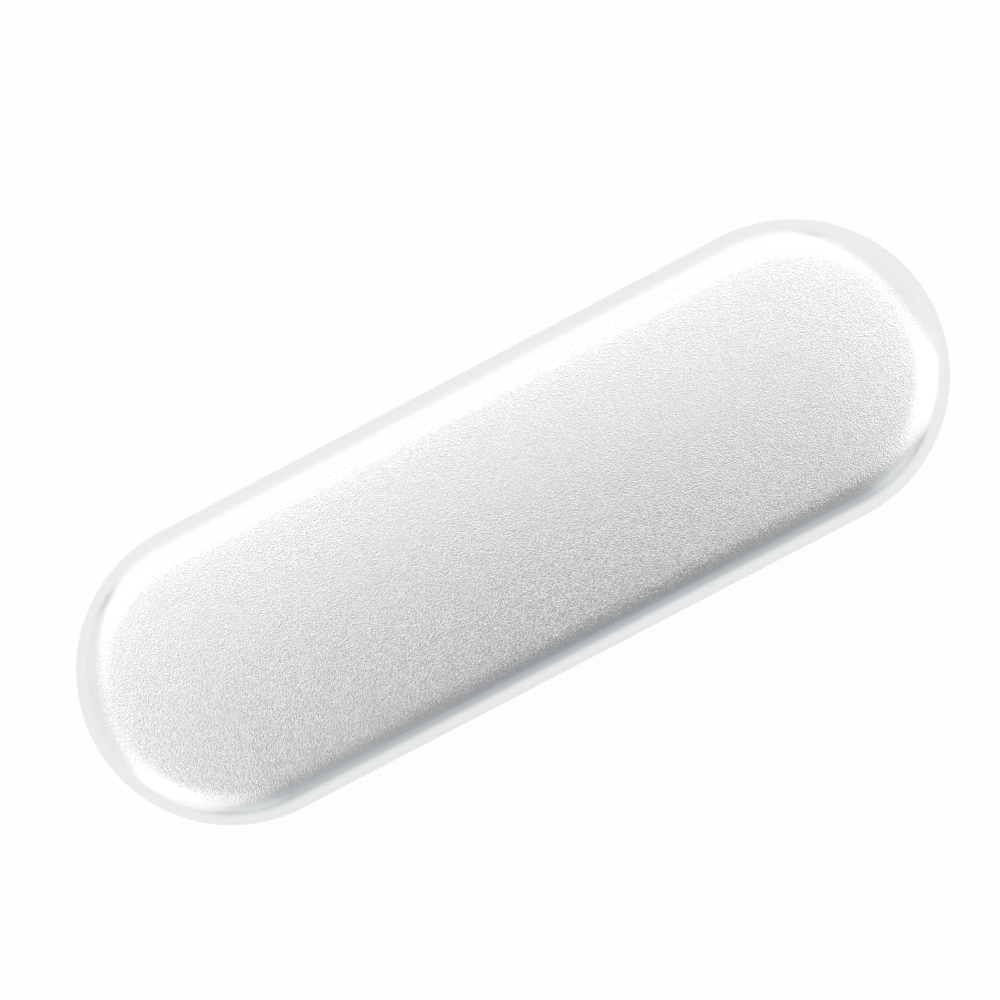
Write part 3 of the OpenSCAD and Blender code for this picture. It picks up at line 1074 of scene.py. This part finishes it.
sides = {"left": -1, "right": 1}
for word, side in sides.items():
    for body, first, lid in (("base", base_knuckle, False), ("lid", lid_knuckle, True)):
        leaf = roll_leaf(f"rolled_{body}_leaf_{word}", side, first, lid)
        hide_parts(f"{body}_hinge_leaf_{word}")
        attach(leaf, body)
        report(leaf)

# %% [markdown]
# ## Pins and rivets
#
# These are turned or headed parts, round about one line. Each is half of its outline,
# drawn on the side of that line and spun once round it. A pin's ends are peened into low
# domes. A rivet has a low domed head outside and a flush cone inside.

# %% Bright drawn steel
steel_cool = (0.50, 0.50, 0.51, 1)
steel_warm = (0.60, 0.595, 0.585, 1)

bright_steel, tree, shader, place = new_material("bright_steel", metallic=1.0)
marks = add_group(tree, drawn_lines, Vector=place, Stretch=(1.0, 0.25, 0.25), Lines=9000.0)
film = add_group(tree, grit, Vector=place, Grains=3000.0, Patches=420.0)
steel = mix_colours(tree, film.outputs["Patch"], steel_cool, steel_warm)
gloss = add_node(tree, "MapRange", Value=marks.outputs["Streak"], To_Min=0.16, To_Max=0.28)
bump = add_node(tree, "Bump", Strength=0.5, Distance=0.004 * mm, Height=marks.outputs["Height"])
set_inputs(
    shader, Base_Color=steel, Roughness=gloss.outputs["Result"], Normal=bump.outputs["Normal"]
)
print("material:", bright_steel.name)

# %% Headed pins
pin_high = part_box("hinge_pin_right")[1]
pin_r = 0.6 * mm
pin_head_r = pin_high.z - pivot.z
pin_head_t = 0.4 * mm
pin_end = pin_high.x - hinge_x
dome_h = 0.15 * mm
dome_steps = 5
pin_sides = 24


def spin_whole(centre, axis, steps):
    """Spins a drawn outline once round its line, closes it and smooths it."""
    bpy.ops.mesh.select_all(action="SELECT")
    draw_arc(Vector(), centre, 360, steps, axis)
    close_up(part_weld)
    bpy.ops.object.shade_smooth_by_angle(angle=math.radians(40))


def turn_pin(name, middle):
    """Half of the outline lies above the pin's line, from its left dome to its right."""
    dome_r, swing = arc_over(pin_head_r, dome_h)
    y, z = pivot.y, pivot.z
    left, right = middle - pin_end, middle + pin_end
    pin, pen = start_point(name, (left, y, z))
    pen = draw_arc(pen, (left + dome_r, y, z), swing, dome_steps, "Y")
    for x, r in (
        (left + pin_head_t, pin_head_r),
        (left + pin_head_t, pin_r),
        (right - pin_head_t, pin_r),
        (right - pin_head_t, pin_head_r),
        (right - dome_h, pin_head_r),
    ):
        pen = draw_line(pen, (x, y, z + r))
    draw_arc(pen, (right - dome_r, y, z), swing, dome_steps, "Y")
    spin_whole((0, y, z), "X", pin_sides)
    pin.data.materials.append(bright_steel)
    return pin


for word, side in sides.items():
    pin = turn_pin(f"headed_pin_{word}", side * hinge_x)
    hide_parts(f"hinge_pin_{word}")
    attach(pin, "base")
    report(pin)

# %% Rivets
rivet_head_r = 1.4 * mm
rivet_in = leaf_y - tray_t - rivet_head_t
rivet_out = leaf_y + leaf_t + rivet_head_t
rivet_sides = 28
cap_h = 0.3 * mm
cap_steps = 6


def turn_rivet(name, x, z):
    """Half of the outline lies above the rivet's line, from its cone to its dome."""
    cap_r, swing = arc_over(rivet_head_r, cap_h)
    rivet, pen = start_point(name, (x, rivet_in, z))
    for y, r in (
        (rivet_in, rivet_head_r - rivet_head_t),
        (rivet_in + rivet_head_t, rivet_head_r),
        (rivet_in + rivet_head_t, rivet_d / 2),
        (rivet_out - rivet_head_t, rivet_d / 2),
        (rivet_out - rivet_head_t, rivet_head_r),
        (rivet_out - cap_h, rivet_head_r),
    ):
        pen = draw_line(pen, (x, y, z + r))
    draw_arc(pen, (x, rivet_out - cap_r, z), -swing, cap_steps)
    spin_whole((x, 0, z), "Y", rivet_sides)
    return rivet


for body, up in (("base", -1), ("lid", 1)):
    row = [turn_rivet(f"set_rivets_{body}", x, seam_z + up * rivet_drop) for x in rivet_places]
    select_only(*row)
    bpy.ops.object.join()
    row[0].data.materials.append(bright_steel)
    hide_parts(f"{body}_hinge_rivets")
    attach(row[0], body)
    report(row[0])

# %% [markdown]
# ## Springs
#
# A torsion spring sits round each pin and pushes the lid shut. It is wound from one wire:
# a small circle, spun as a screw round the pin, with a leg pulled straight out of each
# end so that it leaves the turns without a kink. When the lid opens the turns wind up.

# %% Sizes of a spring
wire_r = 0.2 * mm
wire_sides = 12
wire_weld = 0.001 * mm
turns = 8
turn_steps = 20
coil_pitch = 0.9 * mm
coil_play = 0.15 * mm
coil_l = turns * coil_pitch
coil_r = pin_r + coil_play + wire_r
leg_play = 0.05 * mm
leg_hold = 0.9 * mm
leg_y = barrel_r - leaf_t - wire_r - leg_play
leg_lean = math.asin(coil_r / math.hypot(leg_y, notch_h)) - math.atan(leg_y / notch_h)
leg_l = math.sqrt(leg_y**2 + notch_h**2 - coil_r**2) + leg_hold
print("coil, mm:", round(coil_l / mm, 2), "long, legs", round(leg_l / mm, 2))

# %% Two springs


def pull_leg(spring, middle, lid):
    """Pulls the open end of the wire straight on past its leaf's notch, and caps it."""
    up = 1 if lid else -1
    end_x = middle + up * coil_l / 2
    off = Vector((0, -math.cos(leg_lean) * coil_r, up * math.sin(leg_lean) * coil_r))
    end = Vector((end_x, pivot.y, pivot.z)) + off
    along = Vector((0, math.sin(leg_lean), up * math.cos(leg_lean)))
    near, flat = 1.2 * wire_r, 0.1 * wire_r
    select_places(
        spring, lambda p: (p - end).length < near and abs((p - end).dot(along)) < flat
    )
    draw_line(Vector(), along * leg_l)
    bpy.ops.mesh.edge_face_add()
    bpy.ops.object.mode_set(mode="OBJECT")


def wind_spring(name, middle):
    """The wire's circle starts in front of the pin, where the base leg leaves the turns."""
    start = Vector((middle - coil_l / 2, pivot.y, pivot.z))
    bpy.ops.object.select_all(action="DESELECT")
    bpy.ops.mesh.primitive_circle_add(vertices=wire_sides, radius=wire_r, location=start)
    spring = bpy.context.object
    spring.name = spring.data.name = name
    bpy.ops.object.mode_set(mode="EDIT")
    bpy.ops.mesh.select_all(action="SELECT")
    bpy.ops.transform.translate(value=(0, -coil_r, 0))
    bpy.ops.object.mode_set(mode="OBJECT")
    winding = spring.modifiers.new("winding", "SCREW")
    winding.axis = "X"
    winding.angle = -turns * math.tau - 2 * leg_lean
    winding.screw_offset = coil_l
    winding.iterations = 1
    winding.steps = winding.render_steps = turns * turn_steps
    apply_modifier(spring, winding)
    spring.rotation_euler = (leg_lean, 0, 0)
    bpy.ops.object.transform_apply(location=True, rotation=True, scale=True)
    for lid in (False, True):
        pull_leg(spring, middle, lid)
    bpy.ops.object.mode_set(mode="EDIT")
    close_up(wire_weld)
    bpy.ops.object.shade_smooth_by_angle(angle=math.radians(50))
    spring.data.materials.append(bright_steel)
    return spring


for word, side in sides.items():
    middle = side * hinge_x
    spring = wind_spring(f"wound_spring_{word}", middle)
    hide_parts(f"hinge_spring_{word}")
    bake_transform(spring)
    report(spring)

# %% [markdown]
# ## Adhesive sheets
#
# Thin double-sided sheets hold the trays in the shells and the foam in the trays. They are
# flat and hidden, so the CAD nodes' own shapes stay and only get a finish: pale, fibrous
# tissue under a film of glue.

# %% Adhesive tissue
tissue_dark = (0.74, 0.70, 0.60, 1)
tissue_light = (0.84, 0.82, 0.76, 1)

tissue, tree, shader, place = new_material("adhesive_tissue", roughness=0.7)
threads = add_group(tree, drawn_lines, Vector=place, Stretch=(0.2, 1.0, 1.0), Lines=2400.0)
clouds = add_group(tree, grit, Vector=place, Grains=1800.0, Patches=90.0)
glue = mix_colours(tree, clouds.outputs["Patch"], tissue_dark, tissue_light)
bump = add_node(tree, "Bump", Strength=0.5, Distance=0.01 * mm, Height=threads.outputs["Height"])
set_inputs(shader, Base_Color=glue, Normal=bump.outputs["Normal"])
for name in ("base_tray_tape", "cushion_tape", "lid_tray_tape", "pad_tape"):
    node = frame["nodes"][name]
    node.data.materials.clear()
    node.data.materials.append(tissue)
    print(name, "gets", tissue.name)

# %% [markdown]
# ## The end

# %% Nothing left selected
bpy.ops.object.select_all(action="DESELECT")
